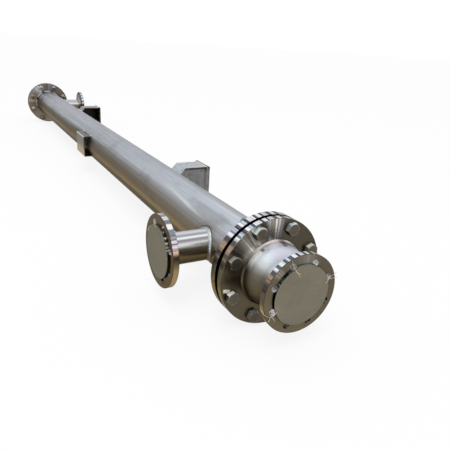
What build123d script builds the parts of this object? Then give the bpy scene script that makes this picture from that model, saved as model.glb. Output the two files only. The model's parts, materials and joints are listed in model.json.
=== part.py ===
"""Shell and tube heat exchanger: one straight shell, bolted channel ends, side nozzles and saddles.

Millimetres, +Z up. The shell lies along Y with the near end at -Y. Two saddles on its +X side bolt to an
upright frame, and the origin is the middle of the near saddle's outer face. The far end is the near end
turned half round the upright line through the middle of the shell, so its nozzle leaves on the +X side.
"""
import os
from math import cos, radians, sin, tan

from build123d import *

os.makedirs("parts", exist_ok=True)

# Shell and nozzle pipe
shell_od = 168.3
shell_wall = 4.5
shell_length = 3066.0
nozzle_od = 88.9
nozzle_wall = 3.6

# Large flanges, nominal size 150: margins on the pipe and on the bolt circle
large_hole_d = 22.0
large_circle_margin = 71.7
large_edge_margin = 45.0
large_raised_margin = 28.0
channel_flange_rim = 19.0
tubesheet_rim = 25.0

# Small flanges, nominal size 80
small_hole_d = 18.0
small_circle_margin = 71.1
small_edge_margin = 40.0
small_raised_margin = 22.0
small_flange_rim = 17.0

raised_height = 3.0
rim_chamfer = 1.0
hole_count = 8
slip_clearance = 0.3
pipe_setback = 5.0

# Gasket, kept inside the bolt shanks
gasket_thickness = 3.0
gasket_clearance = 1.0

# Screws and nuts, metric size 20
bolt_d = 20.0
bolt_across_flats = 30.0
bolt_head = 12.5
bolt_length = 80.0
nut_height = 18.0
hex_chamfer_angle = 30.0
point_chamfer = 1.5

# Channel: a reducer that shows between its two flanges
channel_length = 102.5
channel_lip = 10.0
channel_tail = 6.0
channel_wall = 4.0

# Sheet covers over the open flanges, which reach past the raised faces
cover_thickness = 2.5
end_cover_overlap = 6.0
nozzle_cover_overlap = 4.0

# Fillet welds round the pipe ends
weld_leg = 6.0
small_weld_leg = 4.0

# Side nozzles: distance from the tubesheet, and reach of the rim beyond the shell
nozzle_setback = 165.0
nozzle_stand_off = 129.0

# Saddles: sizes across the shell come from its radius
saddle_inset = 4.0
saddle_stand_off = 96.0
saddle_base_length = 110.0
saddle_base_thickness = 8.0
rib_length = 88.0
rib_thickness = 6.0
rib_step = 2.0
rib_bend_angle = 48.0
bend_inner_radius = 5.0
web_thickness = 6.0
web_recess = 3.0
near_saddle_station = -825.0
far_saddle_station = 740.0

# Folded bracket at mid-length, its upper leg scalloped between two welded tabs
bracket_length = 150.0
bracket_inset = 34.0
bracket_stand_off = 22.0
bracket_thickness = 3.0
bracket_inner_radius = 3.0
bracket_tab = 14.0
bracket_scallop = 9.0

# Derived diameters
shell_radius = shell_od / 2
large_bolt_circle = shell_od + large_circle_margin
large_flange_od = large_bolt_circle + large_edge_margin
large_raised_od = large_bolt_circle - large_raised_margin
small_bolt_circle = nozzle_od + small_circle_margin
small_flange_od = small_bolt_circle + small_edge_margin
small_raised_od = small_bolt_circle - small_raised_margin
gasket_od = large_bolt_circle - bolt_d - 2 * gasket_clearance
end_cover_od = small_raised_od + 2 * end_cover_overlap
nozzle_cover_od = small_raised_od + 2 * nozzle_cover_overlap
shell_slip_bore = shell_od + 2 * slip_clearance
nozzle_slip_bore = nozzle_od + 2 * slip_clearance

# Derived stations along the shell, outward from its middle
shell_end = shell_length / 2
tubesheet_face = shell_end + tubesheet_rim + raised_height
channel_face = tubesheet_face + gasket_thickness
channel_rim = channel_face + raised_height
channel_back = channel_rim + channel_flange_rim
end_back = channel_back + channel_length
end_face = end_back + small_flange_rim + raised_height
nozzle_station = shell_end - nozzle_setback

# Derived distances across the shell, outward from its axis
nozzle_back = shell_radius + nozzle_stand_off - small_flange_rim
nozzle_face = shell_radius + nozzle_stand_off + raised_height
saddle_reach = shell_radius + saddle_stand_off
saddle_half_height = shell_radius - saddle_inset
bracket_reach = shell_radius + bracket_stand_off
bracket_half_height = shell_radius - bracket_inset

# Middle of the shell's axis, seen from the origin on the near saddle
middle = Vector(-saddle_reach, -near_saddle_station, 0)
first_hole_angle = 180.0 / hole_count

# Planes that face outward along the shell and along each side nozzle, with their turn about the middle
end_plane = {
    "near": Plane(origin=middle, x_dir=(1, 0, 0), z_dir=(0, -1, 0)),
    "far": Plane(origin=middle, x_dir=(-1, 0, 0), z_dir=(0, 1, 0)),
}
nozzle_plane = {
    "near": Plane(origin=middle - Vector(0, nozzle_station, 0), x_dir=(0, -1, 0), z_dir=(-1, 0, 0)),
    "far": Plane(origin=middle + Vector(0, nozzle_station, 0), x_dir=(0, 1, 0), z_dir=(1, 0, 0)),
}


def save(piece, name):
    """Label one piece and write it out."""
    piece.part.label = name
    export_step(piece.part, "parts/" + name + ".step")


def disc(plane, start, length, outer_d, inner_d=0.0, mode=Mode.ADD):
    """Disc or ring on the open part, from station start outward along the plane's normal."""
    with BuildSketch(plane.offset(start)) as profile:
        Circle(outer_d / 2)
        if inner_d:
            Circle(inner_d / 2, mode=Mode.SUBTRACT)
    extrude(profile.sketch, amount=length, mode=mode)


def holes(plane, start, length, circle_d, hole_d):
    """Ring of bolt holes that straddle the centre lines."""
    with BuildSketch(plane.offset(start)) as profile:
        with PolarLocations(circle_d / 2, hole_count, start_angle=first_hole_angle):
            Circle(hole_d / 2)
    extrude(profile.sketch, amount=length, mode=Mode.SUBTRACT)


def break_rim(piece, outer_d):
    """Chamfer the two outer edges of a flange rim."""
    rounds = piece.edges().filter_by(GeomType.CIRCLE)
    rim_edges = rounds.filter_by(lambda edge: abs(edge.radius - outer_d / 2) < rim_chamfer)
    chamfer(rim_edges, rim_chamfer)


def small_flange(plane, back):
    """Slip-on flange whose rim starts at station back and whose raised face looks outward."""
    with BuildPart() as flange:
        disc(plane, back, small_flange_rim, small_flange_od)
        break_rim(flange, small_flange_od)
        disc(plane, back + small_flange_rim, raised_height, small_raised_od)
        disc(plane, back, small_flange_rim + raised_height, nozzle_slip_bore, mode=Mode.SUBTRACT)
        holes(plane, back, small_flange_rim, small_bolt_circle, small_hole_d)
    return flange


def cover(plane, face, outer_d):
    """Plain sheet disc that closes a flange."""
    with BuildPart() as sheet:
        disc(plane, face, cover_thickness, outer_d)
    return sheet


def section_plane(plane):
    """Plane through the normal of the given one, with that normal as its first direction."""
    return Plane(origin=plane.origin, x_dir=plane.z_dir, z_dir=plane.x_dir)


def fillet_weld(plane, start, pipe_d, leg):
    """Ring of triangular section in the corner between a flange at station start and a pipe.

    A positive leg runs outward along the plane's normal, a negative one inward.
    """
    inner = pipe_d / 2
    with BuildPart() as weld:
        with BuildSketch(section_plane(plane)) as corner:
            with BuildLine():
                Polyline((start, inner), (start + leg, inner), (start, inner + abs(leg)), close=True)
            make_face()
        revolve(corner.sketch, axis=Axis(plane.origin, plane.z_dir))
    return weld


def hexagon_prism(height, chamfer_both):
    """Hexagon block from z = 0 up, with its corners turned off at the free face or at both."""
    flat = bolt_across_flats / 2
    corner = flat / cos(radians(30))
    drop = (corner - flat) * tan(radians(hex_chamfer_angle))
    foot = [(flat, 0), (corner, drop)] if chamfer_both else [(corner, 0)]
    with BuildSketch(Plane.XY) as hexagon:
        RegularPolygon(flat, 6, major_radius=False)
    extrude(hexagon.sketch, amount=height)
    with BuildSketch(Plane.XZ) as turned:
        with BuildLine():
            Polyline((0, 0), *foot, (corner, height - drop), (flat, height), (0, height), close=True)
        make_face()
    revolve(turned.sketch, axis=Axis.Z, mode=Mode.INTERSECT)


def s_curve(start, stop):
    """Two equal arcs that leave start and reach stop along the shell axis."""
    centre = (Vector(*start) + Vector(*stop)) / 2
    first = TangentArc(start, (centre.X, centre.Y), tangent=(1 if stop[0] > start[0] else -1, 0))
    return TangentArc(first @ 1, stop, tangent=first % 1)


with BuildPart() as one_bolt:
    hexagon_prism(bolt_head, chamfer_both=False)
    disc(Plane.XY, -bolt_length, bolt_length, bolt_d)
    chamfer(one_bolt.edges().group_by(Axis.Z)[0], point_chamfer)

with BuildPart() as one_nut:
    hexagon_prism(nut_height, chamfer_both=True)
    disc(Plane.XY, 0, nut_height, bolt_d, mode=Mode.SUBTRACT)

# Shell: one pipe, opened under each side nozzle
with BuildPart() as shell:
    disc(end_plane["near"], -shell_end, shell_length, shell_od, shell_od - 2 * shell_wall)
    for end in ("near", "far"):
        disc(nozzle_plane[end], 0, shell_od, nozzle_od - 2 * nozzle_wall, mode=Mode.SUBTRACT)
save(shell, "shell")

for end in ("near", "far"):
    plane = end_plane[end]
    side_plane = nozzle_plane[end]

    # Tubesheet: the shell butts on its back, its raised face bears on the gasket
    with BuildPart() as tubesheet:
        disc(plane, shell_end, tubesheet_rim, large_flange_od)
        break_rim(tubesheet, large_flange_od)
        disc(plane, shell_end + tubesheet_rim, raised_height, large_raised_od)
        holes(plane, shell_end, tubesheet_rim, large_bolt_circle, large_hole_d)
    save(tubesheet, end + "_tubesheet")

    with BuildPart() as gasket:
        disc(plane, tubesheet_face, gasket_thickness, gasket_od, shell_slip_bore)
    save(gasket, end + "_gasket")

    with BuildPart() as channel_flange:
        disc(plane, channel_rim, channel_flange_rim, large_flange_od)
        break_rim(channel_flange, large_flange_od)
        disc(plane, channel_face, raised_height, large_raised_od)
        disc(plane, channel_face, raised_height + channel_flange_rim, shell_slip_bore, mode=Mode.SUBTRACT)
        holes(plane, channel_rim, channel_flange_rim, large_bolt_circle, large_hole_d)
    save(channel_flange, end + "_channel_flange")

    # Channel: straight inside both flanges, with an S-curve between them
    with BuildPart() as channel:
        with BuildSketch(section_plane(plane)) as wall:
            start = channel_face + pipe_setback
            stop = end_face - pipe_setback
            curve_start = channel_back + channel_lip
            curve_stop = end_back - channel_tail
            large_outside = shell_radius
            small_outside = nozzle_od / 2
            large_inside = large_outside - channel_wall
            small_inside = small_outside - channel_wall
            with BuildLine():
                Line((start, large_outside), (curve_start, large_outside))
                s_curve((curve_start, large_outside), (curve_stop, small_outside))
                Polyline(
                    (curve_stop, small_outside), (stop, small_outside), (stop, small_inside),
                    (curve_stop, small_inside),
                )
                s_curve((curve_stop, small_inside), (curve_start, large_inside))
                Polyline((curve_start, large_inside), (start, large_inside), (start, large_outside))
            make_face()
        revolve(wall.sketch, axis=Axis(plane.origin, plane.z_dir))
    save(channel, end + "_channel")

    save(small_flange(plane, end_back), end + "_end_flange")
    save(cover(plane, end_face, end_cover_od), end + "_end_cover")
    save(fillet_weld(plane, shell_end, shell_od, -weld_leg), end + "_shell_weld")
    save(fillet_weld(plane, channel_back, shell_od, small_weld_leg), end + "_channel_weld")
    save(fillet_weld(plane, end_back, nozzle_od, -small_weld_leg), end + "_end_weld")

    # Screws seat on the channel flange, nuts on the back of the tubesheet
    with BuildPart() as bolts:
        with Locations(plane.offset(channel_back)):
            with PolarLocations(large_bolt_circle / 2, hole_count, start_angle=first_hole_angle):
                add(one_bolt.part)
    save(bolts, end + "_bolts")

    with BuildPart() as nuts:
        with Locations(plane.offset(shell_end - nut_height)):
            with PolarLocations(large_bolt_circle / 2, hole_count, start_angle=first_hole_angle):
                add(one_nut.part)
    save(nuts, end + "_nuts")

    # Side nozzle: its neck is cut to sit on the outside of the shell
    with BuildPart() as neck:
        disc(side_plane, 0, nozzle_face - pipe_setback, nozzle_od, nozzle_od - 2 * nozzle_wall)
        disc(plane, nozzle_station - nozzle_od, 2 * nozzle_od, shell_od, mode=Mode.SUBTRACT)
    save(neck, end + "_nozzle_neck")

    save(small_flange(side_plane, nozzle_back), end + "_nozzle_flange")
    save(cover(side_plane, nozzle_face, nozzle_cover_od), end + "_nozzle_cover")
    save(fillet_weld(side_plane, nozzle_back, nozzle_od, -small_weld_leg), end + "_nozzle_weld")


def folded_outline(inset):
    """Corners of the ribs' outer face moved inward by inset: base, bend, then a point inside the shell."""
    slope = radians(rib_bend_angle)
    top = saddle_half_height - rib_step - inset
    bend = shell_radius + inset * tan(slope / 2)
    run = shell_radius / 2
    return [
        (saddle_reach - saddle_base_thickness, top),
        (bend, top),
        (bend - run * cos(slope), top - run * sin(slope)),
    ]


def bracket_outline(inset):
    """Corners of the bracket's outer face moved inward by inset: a U that opens toward the shell axis."""
    side = bracket_half_height - inset
    face = bracket_reach - inset
    return [(0, side), (-face, side), (-face, -side), (0, -side)]


def mirrored(corners):
    """The same corners on the lower side of the shell axis."""
    return [(x, -z) for x, z in corners]


def plate(corners, bends, station, length):
    """Plate across the shell: a face with rounded bends, from a station along Y, cut to sit on the shell.

    Corners are x and z from the shell axis. Bends maps a corner's place in the list to its radius.
    """
    points = [(middle.X + x, z) for x, z in corners]
    with BuildPart() as piece:
        with BuildSketch(Plane.XZ.offset(-middle.Y - station)) as face:
            with BuildLine():
                Polyline(*points, close=True)
            make_face()
            for place, radius in bends.items():
                fillet(face.vertices().sort_by_distance(points[place])[0], radius)
        extrude(face.sketch, amount=-length)
        disc(end_plane["far"], station, length, shell_od, mode=Mode.SUBTRACT)
    return piece


# Saddles: two folded ribs and a web between a flat base plate and the shell, the web on the outer side
bend_outer_radius = bend_inner_radius + rib_thickness
for end, station in (("near", near_saddle_station), ("far", far_saddle_station)):
    with BuildPart() as base:
        with BuildSketch(Plane.YZ.offset(-saddle_base_thickness)) as outline:
            with Locations((middle.Y + station, 0)):
                Rectangle(saddle_base_length, 2 * saddle_half_height)
        extrude(outline.sketch, amount=saddle_base_thickness)
    save(base, end + "_saddle_base")

    outer = folded_outline(0)
    inner = folded_outline(rib_thickness)
    rib = outer + inner[::-1]
    rib_bends = {1: bend_outer_radius, 4: bend_inner_radius}
    rib_start = station - rib_length / 2
    save(plate(rib, rib_bends, rib_start, rib_length), end + "_saddle_top_rib")
    save(plate(mirrored(rib), rib_bends, rib_start, rib_length), end + "_saddle_bottom_rib")

    if end == "near":
        web_start = rib_start + web_recess
    else:
        web_start = rib_start + rib_length - web_recess - web_thickness
    web = inner + mirrored(inner)[::-1]
    web_bends = {1: bend_inner_radius, 4: bend_inner_radius}
    save(plate(web, web_bends, web_start, web_thickness), end + "_saddle_web")

# Bracket: a sheet folded to a U that stands off the shell, opposite the saddles
bracket = bracket_outline(0) + bracket_outline(bracket_thickness)[::-1]
bracket_outer_radius = bracket_inner_radius + bracket_thickness
bracket_bends = {
    1: bracket_outer_radius,
    2: bracket_outer_radius,
    5: bracket_inner_radius,
    6: bracket_inner_radius,
}
folded = plate(bracket, bracket_bends, -bracket_length / 2, bracket_length)
leg_foot = (shell_radius ** 2 - bracket_half_height ** 2) ** 0.5
with BuildPart() as side_bracket:
    add(folded.part)
    with BuildSketch(Plane.XY) as scallop:
        with Locations((middle.X - leg_foot, middle.Y)):
            Ellipse(bracket_scallop, bracket_length / 2 - bracket_tab)
    extrude(scallop.sketch, amount=bracket_half_height, mode=Mode.SUBTRACT)
save(side_bracket, "side_bracket")
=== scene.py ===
"""Shell and tube heat exchanger: finishes, weld beads, tie wires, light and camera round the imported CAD."""
import json
import random
from math import cos, pi, sin, sqrt

import bmesh
import bpy
from mathutils import Matrix, Vector

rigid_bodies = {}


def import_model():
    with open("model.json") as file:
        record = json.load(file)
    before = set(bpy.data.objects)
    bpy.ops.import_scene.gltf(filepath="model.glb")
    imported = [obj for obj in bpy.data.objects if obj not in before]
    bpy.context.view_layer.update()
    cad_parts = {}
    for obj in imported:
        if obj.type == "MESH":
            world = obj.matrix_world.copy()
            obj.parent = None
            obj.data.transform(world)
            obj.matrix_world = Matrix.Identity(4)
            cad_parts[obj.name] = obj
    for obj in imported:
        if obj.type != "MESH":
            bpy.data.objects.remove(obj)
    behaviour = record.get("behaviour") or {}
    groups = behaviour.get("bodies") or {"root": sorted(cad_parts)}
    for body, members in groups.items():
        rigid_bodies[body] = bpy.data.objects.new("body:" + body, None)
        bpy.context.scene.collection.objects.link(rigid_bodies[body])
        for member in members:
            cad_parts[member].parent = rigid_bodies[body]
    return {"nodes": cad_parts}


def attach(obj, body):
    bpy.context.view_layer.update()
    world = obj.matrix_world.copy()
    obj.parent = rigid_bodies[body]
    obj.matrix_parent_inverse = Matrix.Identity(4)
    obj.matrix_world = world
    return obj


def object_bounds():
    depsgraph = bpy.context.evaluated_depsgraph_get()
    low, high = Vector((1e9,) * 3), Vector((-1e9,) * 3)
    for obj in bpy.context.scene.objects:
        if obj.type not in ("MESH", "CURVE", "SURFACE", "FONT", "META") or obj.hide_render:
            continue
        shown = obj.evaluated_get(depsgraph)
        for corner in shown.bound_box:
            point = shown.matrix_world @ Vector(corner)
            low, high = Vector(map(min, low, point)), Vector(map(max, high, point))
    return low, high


for old in list(bpy.data.objects):
    bpy.data.objects.remove(old)
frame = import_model()
cad_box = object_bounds()
nodes = frame["nodes"]

# Places and sizes that the pieces share, in metres and radians; the ends mirror each other about middle_y
axis_x = -0.18015
middle_y = 0.825
near_nozzle_y = -0.543
far_nozzle_y = 2.193
shell_r = 0.08415
nozzle_r = 0.04445
bolt_circle_r = 0.120
screw_end_r = 0.015
rib_slope = 48 * pi / 180

# Colours are written as 0 to 255 display values
white = (255, 255, 255)
# black is painted shadow, over the gasket's space between the flanges
black = (7, 7, 7)


def linear(r, g, b):
    """A display colour in the linear values that shaders take."""
    def one(v):
        v /= 255.0
        return v / 12.92 if v <= 0.04045 else ((v + 0.055) / 1.055) ** 2.4
    return (one(r), one(g), one(b), 1.0)


class Value:
    """A number in a node graph. Arithmetic with it adds Math nodes, and a comparison gives 1 or 0."""

    def __init__(self, graph, socket):
        self.graph = graph
        self.socket = socket

    def __add__(self, other):
        return self.graph.math("ADD", self, other)

    def __sub__(self, other):
        return self.graph.math("SUBTRACT", self, other)

    def __rsub__(self, other):
        return self.graph.math("SUBTRACT", other, self)

    def __mul__(self, other):
        return self.graph.math("MULTIPLY", self, other)

    def __truediv__(self, other):
        return self.graph.math("DIVIDE", self, other)

    def __mod__(self, other):
        return self.graph.math("MODULO", self, other)

    def __abs__(self):
        return self.graph.math("ABSOLUTE", self)

    def __gt__(self, other):
        return self.graph.math("GREATER_THAN", self, other)

    def __lt__(self, other):
        return self.graph.math("LESS_THAN", self, other)


class Graph:
    """Short names for the nodes that the finishes and the world use."""

    def __init__(self, tree):
        self.tree = tree

    def put(self, socket, value):
        if isinstance(value, Value):
            value = value.socket
        if isinstance(value, bpy.types.NodeSocket):
            self.tree.links.new(value, socket)
        else:
            socket.default_value = value

    def math(self, operation, a, b=0.0):
        node = self.tree.nodes.new("ShaderNodeMath")
        node.operation = operation
        self.put(node.inputs[0], a)
        self.put(node.inputs[1], b)
        return Value(self, node.outputs[0])

    def most(self, a, b):
        return self.math("MAXIMUM", a, b)

    def length(self, a, b):
        return self.math("SQRT", a * a + b * b)

    def vector(self, operation, a, b=(0.0, 0.0, 0.0)):
        node = self.tree.nodes.new("ShaderNodeVectorMath")
        node.operation = operation
        self.put(node.inputs[0], a)
        self.put(node.inputs[1], b)
        return node.outputs

    def split(self, v):
        node = self.tree.nodes.new("ShaderNodeSeparateXYZ")
        self.put(node.inputs[0], v)
        return [Value(self, part) for part in node.outputs]

    def join(self, x, y, z):
        node = self.tree.nodes.new("ShaderNodeCombineXYZ")
        for socket, value in zip(node.inputs, (x, y, z)):
            self.put(socket, value)
        return node.outputs[0]

    def noise(self, where, scale, detail=2.0, rough=0.5):
        node = self.tree.nodes.new("ShaderNodeTexNoise")
        self.put(node.inputs["Vector"], where)
        node.inputs["Scale"].default_value = scale
        node.inputs["Detail"].default_value = detail
        node.inputs["Roughness"].default_value = rough
        return Value(self, node.outputs["Fac"])

    def cells(self, where, scale):
        """A random value for each stretch of uneven width along a line."""
        node = self.tree.nodes.new("ShaderNodeTexVoronoi")
        node.voronoi_dimensions = "1D"
        self.put(node.inputs["W"], where)
        node.inputs["Scale"].default_value = scale
        return self.split(node.outputs["Color"])[0]

    def span(self, value, low, high, to_low=0.0, to_high=1.0):
        """Smooth step from to_low at low to to_high at high."""
        node = self.tree.nodes.new("ShaderNodeMapRange")
        node.interpolation_type = "SMOOTHSTEP"
        self.put(node.inputs[0], value)
        for socket, edge in zip(node.inputs[1:5], (low, high, to_low, to_high)):
            socket.default_value = edge
        return Value(self, node.outputs[0])

    def ramp(self, fac, stops, kind="LINEAR"):
        """Stops are (place, colour), or (place, grey) with grey from 0 to 1."""
        node = self.tree.nodes.new("ShaderNodeValToRGB")
        node.color_ramp.interpolation = kind
        elements = node.color_ramp.elements
        while len(elements) < len(stops):
            elements.new(0.5)
        for element, (place, colour) in zip(elements, stops):
            element.position = place
            element.color = linear(*colour) if isinstance(colour, tuple) else (colour, colour, colour, 1.0)
        self.put(node.inputs[0], fac)
        return node.outputs[0]

    def mix(self, fac, a, b, kind="MIX"):
        node = self.tree.nodes.new("ShaderNodeMix")
        node.data_type = "RGBA"
        node.blend_type = kind
        node.clamp_factor = True
        self.put(node.inputs[0], fac)
        self.put(node.inputs[6], linear(*a) if isinstance(a, tuple) else a)
        self.put(node.inputs[7], linear(*b) if isinstance(b, tuple) else b)
        return node.outputs[2]

    def tinted(self, a, b):
        return self.mix(1.0, a, b, "MULTIPLY")

    def scaled(self, colour, factor):
        """colour times a grey factor."""
        return self.tinted(colour, self.join(factor, factor, factor))

    def plain_ray(self):
        """1 for a ray from the camera, also by way of a mirror or glass, and 0 for light on the object."""
        rays = self.tree.nodes.new("ShaderNodeLightPath").outputs
        return self.most(self.most(rays["Is Camera Ray"], rays["Is Glossy Ray"]), rays["Is Transmission Ray"])


class Finish(Graph):
    """One procedural material: its graph ends in a Principled shader."""

    def __init__(self, name, metallic, roughness, tint=(1.0, 1.0, 1.0)):
        self.material = bpy.data.materials.new(name)
        self.material.use_nodes = True
        super().__init__(self.material.node_tree)
        self.shader = self.tree.nodes["Principled BSDF"]
        self.metallic(metallic)
        self.roughness(roughness)
        self.shader.inputs["Specular Tint"].default_value = (*tint, 1.0)
        place = self.tree.nodes.new("ShaderNodeTexCoord")
        self.position = place.outputs["Object"]
        self.normal = place.outputs["Normal"]

    def colour(self, value):
        self.put(self.shader.inputs["Base Color"], value)

    def metallic(self, value):
        self.put(self.shader.inputs["Metallic"], value)

    def roughness(self, value):
        self.put(self.shader.inputs["Roughness"], value)

    def bump(self, height, distance, strength):
        node = self.tree.nodes.new("ShaderNodeBump")
        node.inputs["Strength"].default_value = strength
        node.inputs["Distance"].default_value = distance
        self.put(node.inputs["Height"], height)
        self.put(self.shader.inputs["Normal"], node.outputs[0])

    def shade(self, reach, floor):
        """How open the surface is within reach, from floor in a deep recess to 1. The finishes multiply their
        colours by it as painted shade in recesses.
        """
        node = self.tree.nodes.new("ShaderNodeAmbientOcclusion")
        node.samples = 8
        node.inputs["Distance"].default_value = reach
        return Value(self, node.outputs["AO"]) * (1.0 - floor) + floor

    def stretched(self, x, y, z):
        """The position, scaled to draw a noise out along some axes."""
        return self.vector("MULTIPLY", self.position, (x, y, z))[0]

    def around(self, axis, centre):
        """Radius, and sine and cosine of the angle from the top, about a level line along Y or X.

        centre is the line's other level coordinate. The sine is negative on the camera's side of the shell.
        """
        along_y = axis == "y"
        away = self.vector("SUBTRACT", self.position, (centre, 0, 0) if along_y else (0, centre, 0))[0]
        flat = self.vector("MULTIPLY", away, (1, 0, 1) if along_y else (0, -1, 1))[0]
        unit = self.split(self.vector("NORMALIZE", flat)[0])
        return Value(self, self.vector("LENGTH", flat)[1]), unit[0 if along_y else 1], unit[2]


def half(w):
    """A cosine from -1 to 1 as a ramp's place from 0 to 1."""
    return w * 0.5 + 0.5


def swing(value, depth):
    """A value from 0 to 1 as a factor round 1, with depth between its ends."""
    return value * depth + (1.0 - depth / 2)


def shell_finish():
    """Drawn pipe with polishing lines, smudges, scratches and heat tint, and painted light: a pale top, a
    warm side as painted reflection, painted highlight lines and painted shade.
    """
    g = Finish("brushed_shell", 1.0, 0.36, (0.42, 0.40, 0.37))
    _, u, w = g.around("y", axis_x)
    _, y, z = g.split(g.position)
    # Painted light and painted reflection: the border between the pale top and the warm side wanders a
    # little, and moves outward with y
    wander = g.noise(g.join(y * 3.0, 0.0, 0.0), 1.0, 2.0)
    turned = g.span(y, 0.5, 1.5, 0.0, 0.1) * g.span(w, 0.15, 0.5)
    place = half(w) + (wander - 0.5) * 0.05 + turned
    lit = g.ramp(place, [
        (0.0, (66, 56, 42)),
        (0.15, (88, 77, 58)),
        (0.25, (98, 88, 70)),
        (0.345, (112, 98, 75)),
        (0.448, (160, 143, 116)),
        (0.552, (124, 113, 97)),
        (0.655, (122, 115, 104)),
        (0.75, (134, 131, 128)),
        (0.835, (162, 165, 170)),
        (0.90, (198, 203, 212)),
        (0.957, (194, 202, 211)),
        (1.0, (206, 212, 223)),
    ])
    # Lines left along the pipe by drawing and polishing
    way = g.join(u, w, y * 0.05)
    factor = swing(g.noise(way, 7.0, 2.0), 0.2) * swing(g.noise(way, 15.0, 3.0, 0.6), 0.5)
    fine = g.noise(g.stretched(1.0, 0.03, 1.0), 330.0, 2.0)
    clouds = g.noise(g.stretched(1.0, 0.3, 1.0), 8.0, 3.0)
    factor = factor * swing(fine, 0.2) * swing(clouds, 0.24)
    # Painted highlights: a few pale lines on the upper half only
    line = g.noise(g.join(u, w, y * 0.02), 24.0, 1.0)
    glow = g.span(line, 0.6, 0.7) * g.span(w, 0.4, 0.62)
    pale = g.mix(glow * 0.7, lit, (220, 225, 229))
    # Painted highlight: a dashed pale line along the crest
    dashes = g.span(g.noise(g.join(y * 5.0, 7.0, 0.0), 1.0, 2.0), 0.4, 0.62)
    crest = g.span(abs(place - 0.872), 0.018, 0.003) * dashes * g.span(y, -0.08, 0.06)
    pale = g.mix(crest * 0.7, pale, (210, 216, 216))
    # Painted highlight: a slanted pale line beside the near saddle
    slant = g.span(y, -0.52, -0.10, 0.842, 0.925)
    sheen = g.span(abs(place - slant), 0.03, 0.006) * g.span(y, -0.53, -0.38) * g.span(y, -0.06, -0.3)
    pale = g.mix(sheen * 0.8, pale, (212, 222, 218))
    # Painted highlight: a short pink line on the crest beside the near flange
    pink = g.span(abs(u + 0.045), 0.03, 0.01) * (w > 0.0) * g.span(abs(y + 0.56), 0.13, 0.07, 0.0, 0.9)
    pale = g.mix(pink, pale, (236, 226, 232))
    # Smudges from handling
    smudge = g.noise(g.stretched(1.0, 0.35, 1.0), 22.0, 3.0, 0.6)
    pale = g.mix(g.span(smudge, 0.56, 0.68) * 0.35, pale, g.scaled(pale, 0.62))
    # Short scratches on the far half
    scratch = g.noise(g.stretched(1.0, 0.22, 1.0), 95.0, 3.0, 0.7)
    scratch = g.span(scratch, 0.56, 0.64) * g.span(y, 0.2, 1.0)
    pale = g.mix(scratch * 0.45, pale, g.scaled(pale, 0.6))
    # Dirt between the near nozzle and the saddle, above the nozzle's level
    dirt = g.span(abs(y + 0.51), 0.15, 0.05) * g.span(u, -0.25, -0.45)
    dirt = dirt * g.span(w, 0.55, 0.72) * g.span(smudge, 0.36, 0.54, 0.3, 1.0)
    pale = g.mix(dirt * 0.32, pale, (112, 110, 104))
    # Heat tint round the nozzle roots and beside the end welds, and a dark ring over each root
    station = abs(y - middle_y)
    root = g.length(station - (middle_y - near_nozzle_y), z)
    warm = g.most(g.span(root, 0.072, 0.052) * 0.4, g.span(station, 1.508, 1.524) * 0.5)
    body = g.mix(warm, pale, g.mix(0.5, pale, (112, 96, 74)))
    ring = g.span(abs(root - 0.05), 0.0026, 0.0014) * g.span(z, 0.022, 0.036, 0.0, 0.7)
    body = g.mix(ring, body, (84, 76, 74))
    # Painted shade: duller toward the far end; painted light from the tubesheet at the near one, pale and
    # bluish
    corner = g.span(u, -0.74, -0.95, 0.0, 1.3) * g.span(w, -0.05, 0.12) * g.span(y, -0.54, -0.6)
    factor = factor * g.span(y, 1.9, 2.36, 1.0, 0.84) * (corner + 1.0)
    body = g.mix(corner * 0.35, body, g.tinted(body, (206, 222, 255)))
    g.colour(g.scaled(body, factor * g.shade(0.04, 0.6)))
    g.roughness(fine * 0.14 + 0.3)
    g.bump(fine, 0.0004, 0.5)
    return g.material


def glints_under_cover(g, turn, w, axis):
    """Painted spots of light in the groove beside a cover, with painted shadow: black at the side and even at
    the top.
    """
    spots = g.ramp(g.cells(turn, 15.0), [
        (0.0, (40, 40, 33)),
        (0.30, (104, 112, 104)),
        (0.48, (44, 45, 38)),
        (0.68, (132, 150, 141) if axis == "y" else (214, 232, 230)),
        (0.86, (84, 84, 76) if axis == "y" else (196, 176, 176)),
    ], "CONSTANT")
    spots = g.mix(g.span(w, 0.90, 0.93), spots, (166, 168, 162) if axis == "y" else (78, 74, 66))
    return g.mix(g.span(w, 0.36, 0.39), (18, 16, 13), spots)


# For each kind of flange: its axis, the largest radius of the hole walls, how dense the rim's blocks of
# painted reflection are and the level of the dark ones
flange_kinds = {
    "large": ("y", 0.138, 42.0, 1.0),
    "end": ("y", 0.095, 36.0, 0.5),
    "nozzle": ("x", 0.095, 22.0, 1.6),
}
hole_walls_from_r = 0.0712
groove_r = 0.0755


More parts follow.
